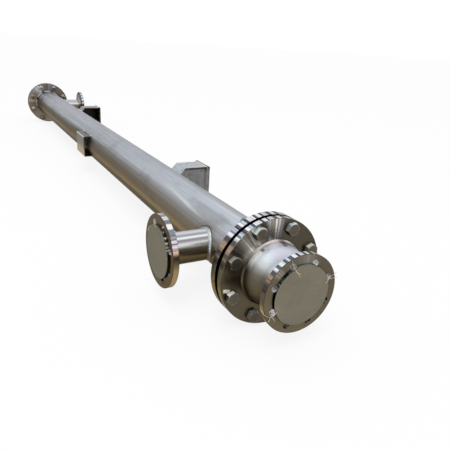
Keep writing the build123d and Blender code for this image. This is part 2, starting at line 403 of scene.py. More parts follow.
def flange_finish(name, kind, face_level, rim_low, seed, centre=axis_x, fans=(), streak=0.5, tone=white):
    """Turned flange: painted glints in fans on brown faces, and painted reflection in hard bright and dark
    rim blocks.

    rim_low holds the colours of the rim's lower part, up to its last place. seed shifts the pattern, fans are
    (middle, half width, strength) in degrees from the top, streak is the depth of the streaks in the plain
    part of the face, and tone is laid over the whole face.
    """
    axis, reach, density, dark_level = flange_kinds[kind]
    large = kind == "large"
    g = Finish(name, 1.0, 0.27, (0.55, 0.53, 0.48))
    radius, u, w = g.around(axis, centre)
    place = half(w)
    turn = g.math("ARCTAN2", u, w)
    n = g.split(g.normal)
    x, y, z = g.split(g.position)
    along, sideways = (abs(n[1]), n[0]) if axis == "y" else (abs(n[0]), n[1])

    # Face: brown as a painted reflection, with painted glints, narrow from the centre outward and gathered in
    # fans
    glint = g.noise(g.join(u, w, seed), 9.0, 4.0, 0.62)
    face = g.ramp(place, [
        (0.10, (98, 90, 72)),
        (0.45, (98, 89, 72)),
        (0.80, (94, 86, 72)),
        (1.0, (96, 90, 79)),
    ])
    # Painted shade: the faces are darker toward +X
    face = g.scaled(face, swing(glint, streak) * g.span(u, 0.1, 0.7, 1.0, 0.85) * face_level)
    # Painted light: the large faces are lighter on the -X side, from about the axis' level up
    if large:
        face = g.scaled(face, g.span(u, -0.6, -0.95, 0.0, 1.6) * g.span(w, -0.03, 0.14) + 1.0)
    if fans:
        fan = core = 0.0
        for middle, width, strength in fans:
            off = abs(turn - middle * pi / 180)
            fan = g.most(fan, g.span(off, width * pi / 180, 0.0) * strength)
            core = g.most(core, g.span(off, width * 0.45 * pi / 180, 0.0) * strength)
        stripe = g.ramp(glint, [
            (0.34, (104, 98, 88)),
            (0.45, (138, 135, 126)),
            (0.50, (206, 204, 200)),
            (0.54, (146, 140, 132)),
            (0.60, (160, 154, 150)),
            (0.64, (212, 212, 212)),
        ])
        gain = (g.cells(turn, 9.0) * 0.55 + 0.78) * g.span(w, 0.96, 0.85, 1.0, 1.5)
        stripe = g.scaled(stripe, gain * (core * 0.8 + 1.0))
        # Painted highlight: lilac lines at the top
        lilac = g.span(g.cells(turn, 44.0), 0.72, 0.76) * g.span(w, 0.95, 0.985)
        stripe = g.mix(lilac * (0.8 if large else 0.25), stripe, (232, 218, 234))
        if large:
            fan = fan * g.span(radius, 0.1, 0.135, 0.82, 1.25)
        face = g.mix(fan, face, stripe)
    rings = g.noise(g.join(radius, 0.0, 0.0), 900.0, 1.0)
    face = g.tinted(g.scaled(face, swing(rings, 0.12)), tone)
    if large:
        # Painted reflection of the lower side screw in the near face
        beyond = x + 0.3055
        off = abs(beyond * 0.2 + (z + 0.0278))
        screw_reflection = g.span(abs(beyond), 0.0105, 0.0075) * g.span(off, 0.0062, 0.0035) * (y < -0.755)
        face = g.mix(screw_reflection * 0.85, face, (238, 236, 216))

    # Rim: painted reflections, hard blocks on the upper part, and below them the colours of rim_low
    sway = g.noise(g.join(turn * 5.0, seed, 0.0), 1.0, 2.0)
    block = g.cells(turn + seed, 14.0)
    pale = g.ramp(block, [
        (0.0, (236, 240, 248)),
        (0.25, (250, 250, 252)),
        (0.45, (206, 222, 234)),
        (0.60, (250, 250, 252)),
        (0.78, (230, 216, 230)),
        (0.88, (240, 244, 240)),
    ], "CONSTANT")
    dark = g.ramp(block, [
        (0.0, (112, 116, 128)),
        (0.30, (84, 84, 96)),
        (0.50, (140, 148, 160)),
        (0.70, (104, 98, 112)),
        (0.85, (130, 126, 134)),
    ], "CONSTANT")
    blocks = g.math("SINE", turn * density + sway * 9.0) > -0.05
    upper = g.mix(blocks, g.scaled(dark, dark_level), pale)
    thin = g.cells(turn + (seed + 5.0), 42.0)
    upper = g.scaled(upper, g.ramp(thin, [(0.0, 0.55), (0.14, 0.92), (0.45, 1.0), (0.84, 1.0)], "CONSTANT"))
    # Painted reflection: hard stripes just below the border, where the blocks end
    zone = g.span(place, 0.6, 0.64) * g.span(place, 0.775, 0.75)
    stripes = (g.cells(turn + seed, 24.0) - 0.5) * zone
    low = g.scaled(g.ramp(place, rim_low), stripes * 1.2 + 1.0)
    border = rim_low[-1][0]
    rim = g.mix(g.span(place, border - 0.006, border), low, upper)

    # Hole walls: painted glints and painted shade, bright below and dark above, but dark all round in the
    # lowest holes
    wall = (along < 0.5) * (radius < reach) * (radius > hole_walls_from_r)
    gleam = g.noise(g.position, 210.0, 2.0) * 1.6 - 0.8
    lowest = g.span(w - u * 0.5, -0.5, -0.65)
    lean = n[2] + gleam - sideways * 0.6 - lowest
    inside = g.mix(g.span(lean, -0.05, 0.15), (36, 32, 26), (250, 251, 252))
    inside = g.scaled(inside, 1.0 - lowest * 0.6)

    # Face, rim and a chamfer darkened with painted shade by the slope of the surface, then the hole walls,
    # then painted shade in recesses, weaker on the upper half
    shown = g.mix(g.span(along, 0.45, 0.62), rim, face)
    chamfer = g.span(along, 0.55, 0.66) * g.span(along, 0.85, 0.76)
    shown = g.mix(wall, g.scaled(shown, 1.0 - chamfer * 0.55), inside)
    shade = g.most(g.shade(0.014, 0.35), (radius > reach) * (along < 0.7))
    shade = g.most(shade, g.span(w, 0.2, 0.65, 0.0, 0.7))
    shown = g.scaled(shown, g.most(shade, wall))
    dull = wall * 0.8
    # Painted glints and painted shadow in the groove beside the cover
    if not large:
        under = (radius < groove_r) * g.span(w, 0.15, 0.45)
        shown = g.mix(under, shown, glints_under_cover(g, turn, w, axis))
        dull = g.most(dull, under)
    g.metallic(1.0 - dull)
    if axis == "y":
        # Painted shadow: black over the space that holds the gasket and over the rims' edges beside it, wider
        # at the side
        station = abs(y - middle_y)
        gap_shadow = (station > g.span(w, 0.2, 0.75, 1.5537, 1.5567)) * (station < 1.5669)
        shown = g.mix(gap_shadow, shown, black)
    g.colour(shown)
    g.roughness(rings * 0.1 + 0.2)
    g.bump(rings, 0.0002, 0.35)
    return g.material


def channel_finish():
    """Blasted reducer: white above and brown below in painted light, with a dark band and two stains beside
    the flange.
    """
    g = Finish("blasted_channel", 1.0, 0.5, (0.6, 0.58, 0.54))
    _, u, w = g.around("y", axis_x)
    station = abs(g.split(g.position)[1] - middle_y)
    # Painted light and painted reflection by height: white above, brown below
    lit = g.ramp(half(w), [
        (0.10, (44, 37, 24)),
        (0.25, (70, 59, 40)),
        (0.33, (94, 81, 58)),
        (0.45, (102, 92, 72)),
        (0.58, (104, 97, 84)),
        (0.67, (120, 114, 104)),
        (0.75, (164, 164, 158)),
        (0.81, (204, 212, 213)),
        (0.89, (212, 220, 224)),
        (0.935, (208, 216, 224)),
        (0.955, (206, 207, 219)),
        (1.0, (212, 213, 226)),
    ])
    spots = g.noise(g.position, 60.0, 4.0, 0.6)
    grain = g.noise(g.position, 900.0, 2.0)
    # Dark band beside the channel flange, weak at the top
    low = g.span(station, 1.606, 1.597) * g.span(w, 0.55, 0.35, 0.0, 0.6) * g.span(w, -0.1, 0.3, 0.35, 1.0)
    high = g.span(station, 1.601, 1.594) * 0.2
    body = g.mix(g.most(low, high), lit, g.scaled(lit, 0.22))
    # Painted light: both ends are whiter above
    ends = g.most(g.span(station, 1.613, 1.602), g.span(station, 1.645, 1.668, 0.0, 0.85))
    upper = ends * g.span(w, 0.25, 0.6) * g.span(u, 0.25, -0.05)
    body = g.mix(upper * 0.75, body, (248, 251, 253))
    g.metallic(1.0 - upper * 0.35)
    # Two grey stains beside the flange
    turn = g.math("ARCTAN2", u, w)
    for middle, half_turn, place, half_width, depth in (
        (-0.53, 0.065, 1.599, 0.0075, 0.75),
        (0.17, 0.09, 1.603, 0.015, 0.6),
    ):
        across = g.span(abs(turn - middle), half_turn, half_turn * 0.6)
        stain = across * g.span(abs(station - place), half_width, half_width * 0.6)
        body = g.mix(stain * depth, body, (96, 96, 96))
    shade = g.most(g.shade(0.03, 0.6), g.span(w, 0.2, 0.5))
    g.colour(g.scaled(body, swing(spots, 0.2) * swing(grain, 0.12) * shade))
    g.roughness(grain * 0.2 + 0.42)
    g.bump(grain, 0.0004, 0.4)
    return g.material


def pipe_finish(name, centre):
    """Polished side pipe: painted reflections in bands of light and dark along it, by the slope of the wall.
    """
    g = Finish(name, 0.75, 0.24, (0.55, 0.50, 0.42))
    lit = g.ramp(half(g.around("x", centre)[2]), [
        (0.10, (20, 15, 8)),
        (0.22, (44, 34, 19)),
        (0.31, (84, 69, 41)),
        (0.38, (98, 82, 52)),
        (0.45, (104, 90, 62)),
        (0.52, (112, 100, 78)),
        (0.587, (122, 112, 98)),
        (0.655, (150, 146, 138)),
        (0.70, (200, 200, 196)),
        (0.765, (228, 230, 228)),
        (0.80, (214, 214, 214)),
        (0.835, (166, 164, 170)),
        (0.875, (134, 134, 140)),
        (0.905, (206, 210, 214)),
        (0.924, (252, 254, 254)),
        (0.943, (188, 190, 198)),
        (0.96, (152, 153, 162)),
        (0.98, (170, 172, 180)),
        (0.993, (218, 224, 230)),
        (1.0, (200, 204, 212)),
    ])
    fine = g.noise(g.stretched(0.03, 1.0, 1.0), 240.0, 2.0)
    g.colour(g.scaled(lit, swing(fine, 0.2) * g.shade(0.02, 0.6)))
    g.roughness(fine * 0.1 + 0.17)
    g.bump(fine, 0.0002, 0.4)
    return g.material


def weld_finish(name, stops, dull=None, mottle=0.6):
    """Rippled bead with painted light: stops give its colour from faces that look down, 0, to faces that look
    up, 1.

    dull is a darker colour that it takes below the axis, painted shade, and mottle is the depth of its spots.
    """
    g = Finish(name, 1.0, 0.34)
    lumps = g.noise(g.position, 260.0, 2.0)
    body = g.ramp(half(g.split(g.normal)[2]), stops)
    if dull:
        body = g.mix(g.span(g.split(g.position)[2], 0.008, -0.014), body, dull)
    g.colour(g.scaled(body, swing(lumps, mottle) * g.shade(0.01, 0.55)))
    g.bump(lumps, 0.0008, 0.6)
    return g.material


def fastener_finish(name, level):
    """Hexagon screws and nuts with ringed ends, and painted light: pale above, brown at the side, with
    painted highlights on the chamfers.

    level is how bright they are: above 1 painted light, below 1 painted shade.
    """
    metallic = 0.75
    g = Finish(name, metallic, 0.26)
    n = g.split(g.normal)
    x, y, z = g.split(g.position)
    spots = g.noise(g.position, 170.0, 3.0)
    slope = half(n[2])
    side = g.ramp(slope, [
        (0.10, (62, 54, 40)),
        (0.40, (84, 76, 63)),
        (0.58, (126, 121, 110)),
        (0.74, (208, 208, 198)),
        (0.95, (230, 232, 228)),
    ])
    # Painted light: brighter on the saddles' side; painted shade: brown on the facets that look the other way
    under = g.span(x, axis_x + 0.05, axis_x + 0.09, 0.0, 1.6) * g.span(n[2], 0.5, 0.2)
    side = g.scaled(side, under + 1.0)
    brown = g.span(n[0], -0.3, -0.7) * g.span(n[2], 0.3, 0.0)
    brown = brown * g.span(x, axis_x + 0.02, axis_x + 0.06, 1.0, 0.0)
    side = g.mix(brown, side, (66, 55, 46))
    # Painted highlight on the chamfers that look up
    chamfer = g.ramp(slope, [(0.30, (88, 80, 66)), (0.54, (102, 96, 84)), (0.64, (244, 246, 242))])
    # Painted light: greyer on the screw just above the axis on the near nozzle's side, and a bluish painted
    # reflection on the one above it
    grey = g.span(abs(z - 0.046), 0.024, 0.016) * (x < axis_x)
    side = g.scaled(side, 1.0 - grey * 0.62)
    chamfer = g.scaled(chamfer, 1.0 - grey * 0.5)
    side = g.mix(g.span(z, 0.085, 0.095, 0.0, 0.7), side, g.tinted(side, (222, 240, 255)))
    # Painted shade: darker on the lowest screws
    side = g.scaled(side, g.span(z, -0.080, -0.095, 1.0, 0.5))
    chamfer = g.scaled(chamfer, g.span(z, -0.080, -0.095, 1.0, 0.6))
    # Distance from the nearest of the eight screw axes
    radius, u, w = g.around("y", axis_x)
    eighth = pi / 4
    fold = (g.math("ARCTAN2", u, w) + 2 * pi) % eighth - eighth / 2
    off = g.length(radius * g.math("SINE", fold), radius * g.math("COSINE", fold) - bolt_circle_r)
    end = g.ramp(off / screw_end_r, [
        (0.50, (88, 79, 65)),
        (0.66, (92, 83, 69)),
        (0.72, (72, 65, 53)),
        (0.80, (102, 94, 80)),
        (0.95, (98, 90, 76)),
    ])
    # Painted light: lighter, bluish ends on the upper screws on the -X side, and painted shade on the lowest
    lift = g.span(z, 0.02, 0.1) * g.span(x, axis_x, axis_x - 0.04)
    end = g.scaled(end, lift * 1.7 + g.span(z, -0.085, -0.105, 1.0, 0.75))
    end = g.mix(lift * 0.6, end, g.tinted(end, (232, 240, 255)))
    along = abs(n[1])
    body = g.mix(g.span(along, 0.25, 0.35), side, chamfer)
    body = g.mix(g.span(along, 0.8, 0.92), body, end)
    g.colour(g.scaled(body, swing(spots, 0.24) * level * g.shade(0.008, 0.65)))
    # Upper facets are duller and so stay pale
    if level > 0.5:
        open_up = g.span(n[2], 0.2, 0.6) * (along < 0.8)
        g.metallic(metallic - open_up * 0.5)
    # Threads on the sides of the bolt ends past the nuts
    thread_pitch = 0.0025
    bolt_end_station = 1.5148
    cut = g.math("SINE", y * (2 * pi / thread_pitch)) * (abs(y - middle_y) < bolt_end_station) * (along < 0.5)
    g.bump(spots * 0.08 + cut, 0.0008, 0.6)
    return g.material


def gasket_finish():
    """Black fibre sheet."""
    g = Finish("gasket_sheet", 0.0, 0.7)
    fibre = g.noise(g.position, 700.0, 3.0)
    g.colour(g.ramp(fibre, [(0.3, (6, 6, 6)), (0.7, (16, 15, 15))]))
    g.bump(fibre, 0.0003, 0.5)
    return g.material


def cover_finish(name, axis, centre, dark, light):
    """Dull sheet disc across the axis, with an edge that has painted glints above and painted shadow below.
    """
    g = Finish(name, 0.75, 0.36, (0.7, 0.68, 0.62))
    n = g.split(g.normal)
    cloud = g.noise(g.position, 11.0, 4.0, 0.6)
    fine = g.noise(g.position, 600.0, 2.0)
    body = g.ramp(cloud, [(0.3, dark), (0.7, light)])
    # Scratches in both directions of the sheet
    scratch = g.noise(g.stretched(0.5, 0.5, 6.0), 34.0, 4.0, 0.7)
    body = g.mix(g.span(scratch, 0.6, 0.68) * 0.25, body, (160, 156, 142))
    _, u, w = g.around(axis, centre)
    edge = glints_under_cover(g, g.math("ARCTAN2", u, w), w, axis)
    # Painted shade: on side covers the edge is darker below
    if axis == "x":
        edge = g.mix(g.span(w, 0.36, 0.39), g.scaled(body, 0.7), edge)
    across = n[1] if axis == "y" else n[0]
    body = g.mix(abs(across) < 0.5, body, edge)
    g.colour(g.scaled(body, swing(fine, 0.08)))
    g.roughness(cloud * 0.15 + 0.3)
    return g.material


def plate_finish(name, front, above, below, inner, reach, floor, streak):
    """Mill plate with rub marks, and painted light and shade by the way each face looks.

    The colours are for upright faces, upper faces, lower faces and faces toward the shell. reach and floor
    are those of the shade in corners, and streak is the depth of the smears on faces across the shell.
    """
    metallic = 0.9
    g = Finish(name, metallic, 0.42)
    n = g.split(g.normal)
    x, _, z = g.split(g.position)
    rub = g.noise(g.stretched(1.0, 1.0, 0.16), 90.0, 4.0, 0.65)
    marks = g.noise(g.stretched(1.0, 1.0, 0.4), 26.0, 5.0, 0.7)
    nicks = g.noise(g.position, 150.0, 2.0)
    smear = g.noise(g.stretched(1.0, 1.0, 0.25), 55.0, 3.0, 0.7)
    smear = g.span(smear, 0.54, 0.66) * (abs(n[1]) > 0.7) * streak
    drips = g.noise(g.stretched(0.6, 1.0, 1.0), 60.0, 4.0, 0.75)
    drips = g.span(drips, 0.52, 0.66) * 0.45
    factor = swing(rub, 0.9) * swing(marks, 0.4) * swing(nicks, 0.5) * (1.0 - smear) * (1.0 - drips)
    # Painted light: upright faces are paler beside the base. A dark brown line runs under the ribs
    beside = g.most(g.span(x, -0.038, -0.008, 0.0, 0.35), g.span(x, -0.018, -0.011, 0.0, 0.9))
    body = g.mix(beside * (x < -0.0078), front, g.mix(0.5, front, inner))
    brown_rib_line = g.span(abs(z), 0.0685, 0.0705) * g.span(marks, 0.35, 0.5, 0.3, 0.85)
    body = g.mix(brown_rib_line, body, (64, 46, 36))
    # Faces toward the shell take the inner colour: painted light on the near saddle, painted shade on the far
    # one
    body = g.mix(g.span(n[0], -0.6, -0.9), body, inner)
    # Painted light on faces that look up, brown near the base, and painted shade on faces that look down
    upper = g.mix(g.span(x, -0.0155, -0.0135, 0.0, 0.75), above, (104, 80, 62))
    body = g.mix(g.span(n[2], 0.25, 0.6), body, upper)
    body = g.mix(g.span(n[2], -0.25, -0.6), body, below)
    g.colour(g.scaled(body, factor * g.shade(reach, floor)))
    if inner[0] > 100:
        # Faces toward the shell with a pale painted-light colour are duller
        g.metallic(g.span(n[0], -0.6, -0.9, metallic, 0.3))
    g.roughness(rub * 0.2 + 0.32)
    g.bump(rub, 0.0004, 0.3)
    return g.material


def bracket_finish():
    """Folded sheet: brown-grey outside with a beige lower half, painted highlights on the bends and painted
    shadow, black, inside.
    """
    g = Finish("bracket_plate", 0.9, 0.4)
    n = g.split(g.normal)
    x, _, z = g.split(g.position)
    rub = g.noise(g.stretched(1.0, 1.0, 0.3), 60.0, 4.0, 0.65)
    outer = g.mix(g.span((rub - 0.5) * 0.03 + z, 0.01, -0.025), (92, 83, 68), (158, 138, 106))
    # Painted highlight: a bright line along the outer edge of the top leg
    top = g.mix(g.span(x, -0.281, -0.286), (92, 87, 90), (190, 192, 194))
    body = g.mix(g.span(n[2], 0.3, 0.7), outer, top)
    # Painted shade on faces that look down, then a painted highlight on the bends
    body = g.mix(g.span(n[2], -0.3, -0.7), body, (84, 76, 62))
    bend = g.span(n[2], 0.2, 0.4) * g.span(n[2], 0.98, 0.85)
    body = g.mix(bend, body, (198, 200, 200))
    # Painted shadow: near black on faces that look at the shell or at the other leg
    to_shell = g.span(n[0], 0.3, 0.6)
    lower_leg = g.span(n[2], 0.3, 0.6) * (z < 0.0)
    upper_leg = g.span(n[2], -0.3, -0.6) * (z > 0.0)
    inner = g.most(to_shell, g.most(lower_leg, upper_leg))
    body = g.mix(inner, body, (34, 31, 27))
    g.colour(g.scaled(body, swing(rub, 0.5) * g.shade(0.01, 0.6)))
    g.roughness(rub * 0.2 + 0.32)
    g.bump(rub, 0.0003, 0.3)
    return g.material


def copper_finish():
    """Copper tie wire."""
    g = Finish("copper_wire", 1.0, 0.3)
    spots = g.noise(g.position, 500.0, 2.0)
    g.colour(g.ramp(spots, [(0.3, (196, 160, 136)), (0.7, (250, 226, 206))]))
    g.bump(spots, 0.0001, 0.3)
    return g.material


# Painted reflections on the rims: colours from the bottom, 0, to the top, 1
end_rim = [
    (0.08, (58, 48, 33)),
    (0.20, (112, 94, 58)),
    (0.40, (146, 125, 80)),
    (0.455, (112, 97, 72)),
    (0.50, (94, 87, 71)),
    (0.59, (92, 86, 72)),
    (0.628, (52, 47, 42)),
    (0.655, (84, 77, 68)),
    (0.71, (126, 116, 104)),
    (0.755, (148, 128, 112)),
    (0.787, (168, 142, 124)),
    (0.806, (88, 84, 84)),
    (0.838, (92, 92, 98)),
]
large_rim = end_rim[:4] + [
    (0.50, (104, 96, 80)),
    (0.59, (108, 100, 86)),
    (0.628, (74, 66, 60)),
    (0.655, (106, 96, 86)),
] + end_rim[-5:]
sheet_rim = end_rim[:4] + [
    (0.50, (158, 148, 124)),
    (0.59, (164, 154, 134)),
    (0.628, (112, 104, 96)),
    (0.655, (142, 132, 122)),
] + end_rim[-5:]
small_rim = [
    (0.08, (40, 33, 24)),
    (0.26, (70, 56, 40)),
    (0.32, (104, 84, 58)),
    (0.37, (168, 144, 92)),
    (0.40, (160, 138, 88)),
] + end_rim[3:]
side_rim = [
    (0.08, (70, 60, 42)),
    (0.15, (164, 146, 116)),
    (0.30, (158, 135, 94)),
    (0.42, (150, 128, 90)),
    (0.49, (112, 99, 72)),
    (0.56, (78, 68, 52)),
    (0.60, (58, 50, 40)),
    (0.625, (96, 84, 74)),
    (0.645, (176, 148, 130)),
    (0.67, (190, 162, 144)),
    (0.69, (196, 180, 172)),
]
# The near one has its blocks of painted reflection up to the top, in place of random ones
near_side_rim = side_rim + [
    (0.718, (192, 176, 176)),
    (0.722, (216, 208, 218)),
    (0.752, (216, 210, 222)),
    (0.757, (128, 120, 130)),
    (0.767, (132, 124, 134)),
    (0.772, (226, 216, 224)),
    (0.800, (220, 210, 218)),
    (0.805, (116, 110, 118)),
    (0.813, (120, 114, 122)),
    (0.818, (172, 164, 172)),
    (0.842, (164, 158, 166)),
    (0.847, (108, 106, 114)),
    (0.862, (132, 146, 152)),
    (0.905, (128, 142, 148)),
    (0.912, (240, 242, 240)),
    (0.948, (236, 236, 234)),
    (0.955, (120, 124, 128)),
    (0.978, (126, 130, 132)),
    (0.984, (222, 230, 236)),
    (0.997, (196, 200, 208)),
]
# Fans of painted glints on the flange faces: (middle, half width, strength) in degrees from the top
large_fans = [(-3, 16, 1.0), (-37, 26, 0.95)]
far_fans = [(108, 42, 0.75), (-32, 28, 1.0), (8, 12, 0.4)]
end_fans = [(4, 20, 0.22), (-47, 11, 0.2)]

gasket_sheet = gasket_finish()
channel_steel = channel_finish()
large_flange_steel = flange_finish("turned_large_flange", "large", 0.8, large_rim, 7.3, fans=large_fans)
end_flange_steel = flange_finish("turned_end_flange", "end", 1.18, small_rim, 1.1, fans=end_fans)
cover_sheet = cover_finish("cover_sheet", "y", axis_x, (112, 107, 91), (126, 121, 105))
fastener_steel = fastener_finish("bright_fastener", 1.0)
straw_weld = weld_finish("straw_weld", [
    (0.10, (30, 25, 14)),
    (0.32, (58, 50, 35)),
    (0.44, (96, 84, 58)),
    (0.56, (80, 71, 58)),
    (0.66, (66, 62, 56)),
    (0.74, (132, 126, 118)),
    (0.82, (224, 213, 204)),
])
root_weld = weld_finish("root_weld", [
    (0.1, (84, 76, 62)),
    (0.5, (164, 170, 172)),
    (0.82, (200, 208, 212)),
    (0.95, (158, 160, 158)),
], dull=(112, 100, 80), mottle=2.4)
pale_weld = weld_finish("pale_weld", [(0.1, (96, 86, 70)), (0.5, (150, 146, 134)), (0.85, (196, 196, 190))])
seam_weld = weld_finish("seam_weld", [(0.1, (70, 60, 46)), (0.5, (120, 106, 84)), (0.9, (224, 222, 214))])
foot_weld = weld_finish("foot_weld", [(0.1, (96, 88, 74)), (0.5, (176, 180, 176)), (0.85, (210, 216, 216))])
copper = copper_finish()

# Finishes that differ between the ends
nozzle_sheet = ((99, 94, 78), (114, 109, 92))
near_plate = plate_finish("mill_plate", (124, 124, 124), (176, 182, 190), (78, 72, 62), (204, 203, 199),
                          0.01, 0.8, 0.7)
# Painted shade: the far saddle's plates are a darker copy of the plate finish
shaded_far_plate = plate_finish("shaded_far_plate", (66, 64, 56), (142, 142, 148), (66, 60, 52), (60, 58, 52),
                         0.01, 0.8, 0.4)
own_finishes = {
    "near": {
        "tubesheet": flange_finish("turned_near_tubesheet", "large", 0.8, sheet_rim, 7.315, fans=large_fans),
        # Painted shade: the near nuts are a darker copy of the fastener finish
        "nuts": fastener_finish("shaded_near_nut", 0.3),
        "nozzle_neck": pipe_finish("polished_near_neck", near_nozzle_y),
        "nozzle_flange": flange_finish("turned_near_nozzle_flange", "nozzle", 1.25, near_side_rim, 2.3,
                                       near_nozzle_y, streak=0.16, tone=(255, 242, 236)),
        "nozzle_cover": cover_finish("near_nozzle_sheet", "x", near_nozzle_y, *nozzle_sheet),
        "saddle_base": near_plate,
        "saddle_web": near_plate,
        "saddle_top_rib": near_plate,
        "saddle_bottom_rib": near_plate,
    },
    "far": {
        # Painted light: the far tubesheet's face is lighter and bluish
        "tubesheet": flange_finish("turned_far_tubesheet", "large", 1.95, end_rim, 0.4, fans=far_fans,
                                   tone=(238, 240, 255)),
        # Painted light: the far nuts are a brighter copy of the fastener finish
        "nuts": fastener_finish("lit_far_nut", 1.7),
        "nozzle_neck": pipe_finish("polished_far_neck", far_nozzle_y),
        "nozzle_flange": flange_finish("turned_far_nozzle_flange", "nozzle", 0.98, side_rim, 2.3,
                                       far_nozzle_y, streak=0.16),
        "nozzle_cover": cover_finish("far_nozzle_sheet", "x", far_nozzle_y, *nozzle_sheet),
        "saddle_base": shaded_far_plate,
        "saddle_web": plate_finish("shaded_plate", (40, 38, 32), (120, 120, 126), (60, 54, 46), (40, 38, 32),
                                   0.06, 0.1, 0.3),
        "saddle_top_rib": shaded_far_plate,
        "saddle_bottom_rib": shaded_far_plate,
    },
}
shared_finishes = {
    "gasket": gasket_sheet,
    "channel_flange": large_flange_steel,
    "channel": channel_steel,
    "end_flange": end_flange_steel,
    "end_cover": cover_sheet,
    "shell_weld": pale_weld,
    "channel_weld": straw_weld,
    "end_weld": straw_weld,
    "bolts": fastener_steel,
    "nozzle_weld": pale_weld,
}
for end, own in own_finishes.items():
    for name, material in (shared_finishes | own).items():
        nodes[end + "_" + name].material_slots[0].material = material
nodes["shell"].material_slots[0].material = shell_finish()
nodes["side_bracket"].material_slots[0].material = bracket_finish()


# Added pieces: weld beads as meshes and tie wires as curves

def add(name, data, material):
    obj = bpy.data.objects.new(name, data)
    bpy.context.scene.collection.objects.link(obj)
    data.materials.append(material)
    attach(obj, "root")


def bead(name, path, leg, pitch, material, depth, closed=False, seed=1):
    """A rippled fillet bead. path is (point, direction on one surface, direction on the other).

    leg is its width on each surface, pitch the length of a ripple and depth the ripple's share of the width.
    """
    sides = 6
    rng = random.Random(seed)
    bm = bmesh.new()
    rows = []
    run = 0.0
    for i, (point, one, other) in enumerate(path):
        if i:
            run += (point - path[i - 1][0]).length
        wave = abs(sin(pi * run / pitch))
        size = leg * (1.0 - depth + depth * wave + rng.uniform(-0.04, 0.04))
        row = []
        for k in range(sides + 1):
            t = k / sides
            bulge = 0.38 * sin(pi * t) * (0.55 + 0.45 * wave)
            row.append(bm.verts.new(point + one * size * ((1 - t) ** 1.2 + bulge * t)
                                    + other * size * (t ** 1.2 + bulge * (1 - t))))
        rows.append(row)
    pairs = list(zip(rows, rows[1:]))
    if closed:
        pairs.append((rows[-1], rows[0]))
    for a, b in pairs:
        for k in range(sides):
            bm.faces.new((a[k], a[k + 1], b[k + 1], b[k]))
    if not closed:
        bm.faces.new(rows[0])
        bm.faces.new(rows[-1])
    bmesh.ops.recalc_face_normals(bm, faces=bm.faces)
    bm.normal_update()
    mesh = bpy.data.meshes.new(name)
    bm.to_mesh(mesh)
    bm.free()
    mesh.polygons.foreach_set("use_smooth", [True] * len(mesh.polygons))
    add(name, mesh, material)


def nozzle_root(end, nozzle_y, side):
    """Bead where the side nozzle meets the shell. side is -1 or 1, the way that the nozzle points along X."""
    path = []
    count = 280
    for i in range(count):
        t = 2 * pi * i / count
        y, z = nozzle_r * cos(t), nozzle_r * sin(t)
        point = Vector((axis_x + side * sqrt(shell_r ** 2 - z ** 2), nozzle_y + y, z))
        out = Vector((0, cos(t), sin(t)))
        up = Vector(((point.x - axis_x) / shell_r, 0, z / shell_r))
        along_shell = (out - up * out.dot(up)).normalized()
        path.append((point, along_shell * (1.0 - 0.4 * sin(t) ** 2), Vector((side, 0, 0))))
    bead(end + "_nozzle_root_weld", path, 0.0068, 0.0042, root_weld, 0.16, closed=True)


def straight(start, stop, one, other):
    """Path of a bead along a straight joint, in steps of about 0.7 mm."""
    start, stop = Vector(start), Vector(stop)
    count = max(4, round((stop - start).length / 0.0007))
    return [(start.lerp(stop, i / count), Vector(one), Vector(other)) for i in range(count + 1)]


def saddle_beads(end, saddle_y, web_y, way):
    """Beads of one saddle: ribs to base, rib feet to shell, and web to shell.

    way is -1 or 1, the way that the web's outer face, at web_y, looks along Y.
    """
    base_x, seam_z = -0.008, 0.07815
    foot_x, foot_z = 0.0635, 0.0552
    reach = Vector((0, 0.043, 0))
    for side, level in (("top", 1), ("bottom", -1)):
        edge = Vector((base_x, saddle_y, level * seam_z))
        seam = straight(edge - reach, edge + reach, (-1.5, 0, 0), (0, 0, 0.5 * level))
        bead(end + "_saddle_" + side + "_seam", seam, 0.0036, 0.0105, seam_weld, 0.45, seed=5)
        corner = Vector((axis_x + foot_x, saddle_y, level * foot_z))
        skin = (-foot_z / shell_r, 0, level * foot_x / shell_r)
        slope = (cos(rib_slope), 0, level * sin(rib_slope))
        root = straight(corner - reach, corner + reach, skin, slope)
        bead(end + "_saddle_" + side + "_foot_bead", root, 0.0055, 0.009, foot_weld, 0.4, seed=9)
    path = []
    count = 150
    half_turn = 0.62
    for i in range(count + 1):
        angle = (2 * i / count - 1) * half_turn
        out = Vector((cos(angle), 0, sin(angle)))
        path.append((Vector((axis_x, web_y, 0)) + out * shell_r, Vector((0, way, 0)), out))
    bead(end + "_saddle_web_bead", path, 0.0042, 0.0085, seam_weld, 0.45, seed=3)


def bracket_tacks():
    """Short beads between the ends of the bracket's legs and the shell."""
    foot_x, foot_z = 0.06757, 0.05015
    for side, level in (("upper", 1), ("lower", -1)):
        for end, start, stop in (("near", 0.7505, 0.7635), ("far", 0.8865, 0.8995)):
            x, z = axis_x - foot_x, level * foot_z
            skin = (foot_z / shell_r, 0, level * foot_x / shell_r)
            path = straight((x, start, z), (x, stop, z), skin, (-1, 0, 0))
            bead("bracket_tack_" + end + "_" + side, path, 0.0045, 0.0042, foot_weld, 0.3, seed=2)


def wire(name, *points):
    """Short end of tie wire, 1.2 mm thick, on a smooth line near its points."""
    curve = bpy.data.curves.new(name, "CURVE")
    curve.dimensions = "3D"
    curve.bevel_depth = 0.0006
    curve.bevel_resolution = 2
    curve.use_fill_caps = True
    curve.resolution_u = 6
    spline = curve.splines.new("NURBS")
    spline.points.add(len(points) - 1)
    for spot, place in zip(spline.points, points):
        spot.co = (*place, 1.0)
    spline.order_u = 3
    spline.use_endpoint_u = True
    add(name, curve, copper)


nozzle_root("near", near_nozzle_y, -1)
nozzle_root("far", far_nozzle_y, 1)
saddle_beads("near", 0.0, -0.041, -1)
saddle_beads("far", 1.565, 1.606, 1)
bracket_tacks()

